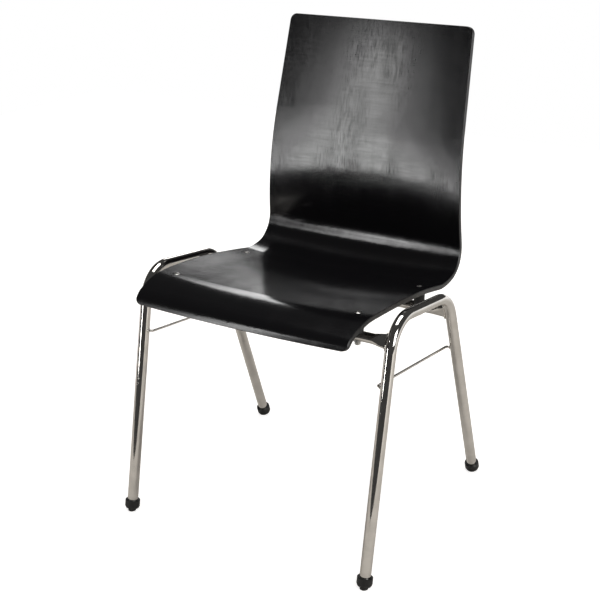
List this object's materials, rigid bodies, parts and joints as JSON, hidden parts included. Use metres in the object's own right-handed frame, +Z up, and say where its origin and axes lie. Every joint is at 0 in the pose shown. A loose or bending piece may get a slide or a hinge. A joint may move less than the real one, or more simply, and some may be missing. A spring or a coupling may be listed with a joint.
{
  "type": "choir chair",
  "caption": "Stackable choir chair: one moulded black plywood seat and back on two bent chrome tube side frames joined by cross tubes.",
  "frame": {"origin": "on the floor, under the middle of the whole chair's box", "axes": "+Z up; the sitter faces -Y; the sitter's left hand is at +X"},
  "size_m": [0.528, 0.521, 0.8795],
  "materials": {
    "shell_ply": "black-stained beech plywood under satin lacquer",
    "frame_chrome": "bright chrome plate",
    "spacer_plastic": "moulded, satin black",
    "screw_steel": "zinc-plated, polished head",
    "washer_steel": "zinc-plated",
    "nut_steel": "zinc-plated",
    "glide_plastic": "moulded, satin black",
    "tread_plastic": "moulded, worn matt black"
  },
  "bodies": {
    "root": {"front_cross_tube": "frame_chrome", "glide_cup_front_left": "glide_plastic", "glide_cup_front_right": "glide_plastic", "glide_cup_rear_left": "glide_plastic", "glide_cup_rear_right": "glide_plastic", "glide_tread_front_left": "tread_plastic", "glide_tread_front_right": "tread_plastic", "glide_tread_rear_left": "tread_plastic", "glide_tread_rear_right": "tread_plastic", "nut_front_left": "nut_steel", "nut_front_right": "nut_steel", "nut_rear_left": "nut_steel", "nut_rear_right": "nut_steel", "rear_cross_tube": "frame_chrome", "saddle_washer_front_left": "washer_steel", "saddle_washer_front_right": "washer_steel", "saddle_washer_rear_left": "washer_steel", "saddle_washer_rear_right": "washer_steel", "seat_screw_front_left": "screw_steel", "seat_screw_front_right": "screw_steel", "seat_screw_rear_left": "screw_steel", "seat_screw_rear_right": "screw_steel", "seat_shell": "shell_ply", "side_frame_left": "frame_chrome", "side_frame_right": "frame_chrome", "side_rod_left": "frame_chrome", "side_rod_right": "frame_chrome", "spacer_front_left": "spacer_plastic", "spacer_front_right": "spacer_plastic", "spacer_rear_left": "spacer_plastic", "spacer_rear_right": "spacer_plastic"}
  },
  "joints": []
}
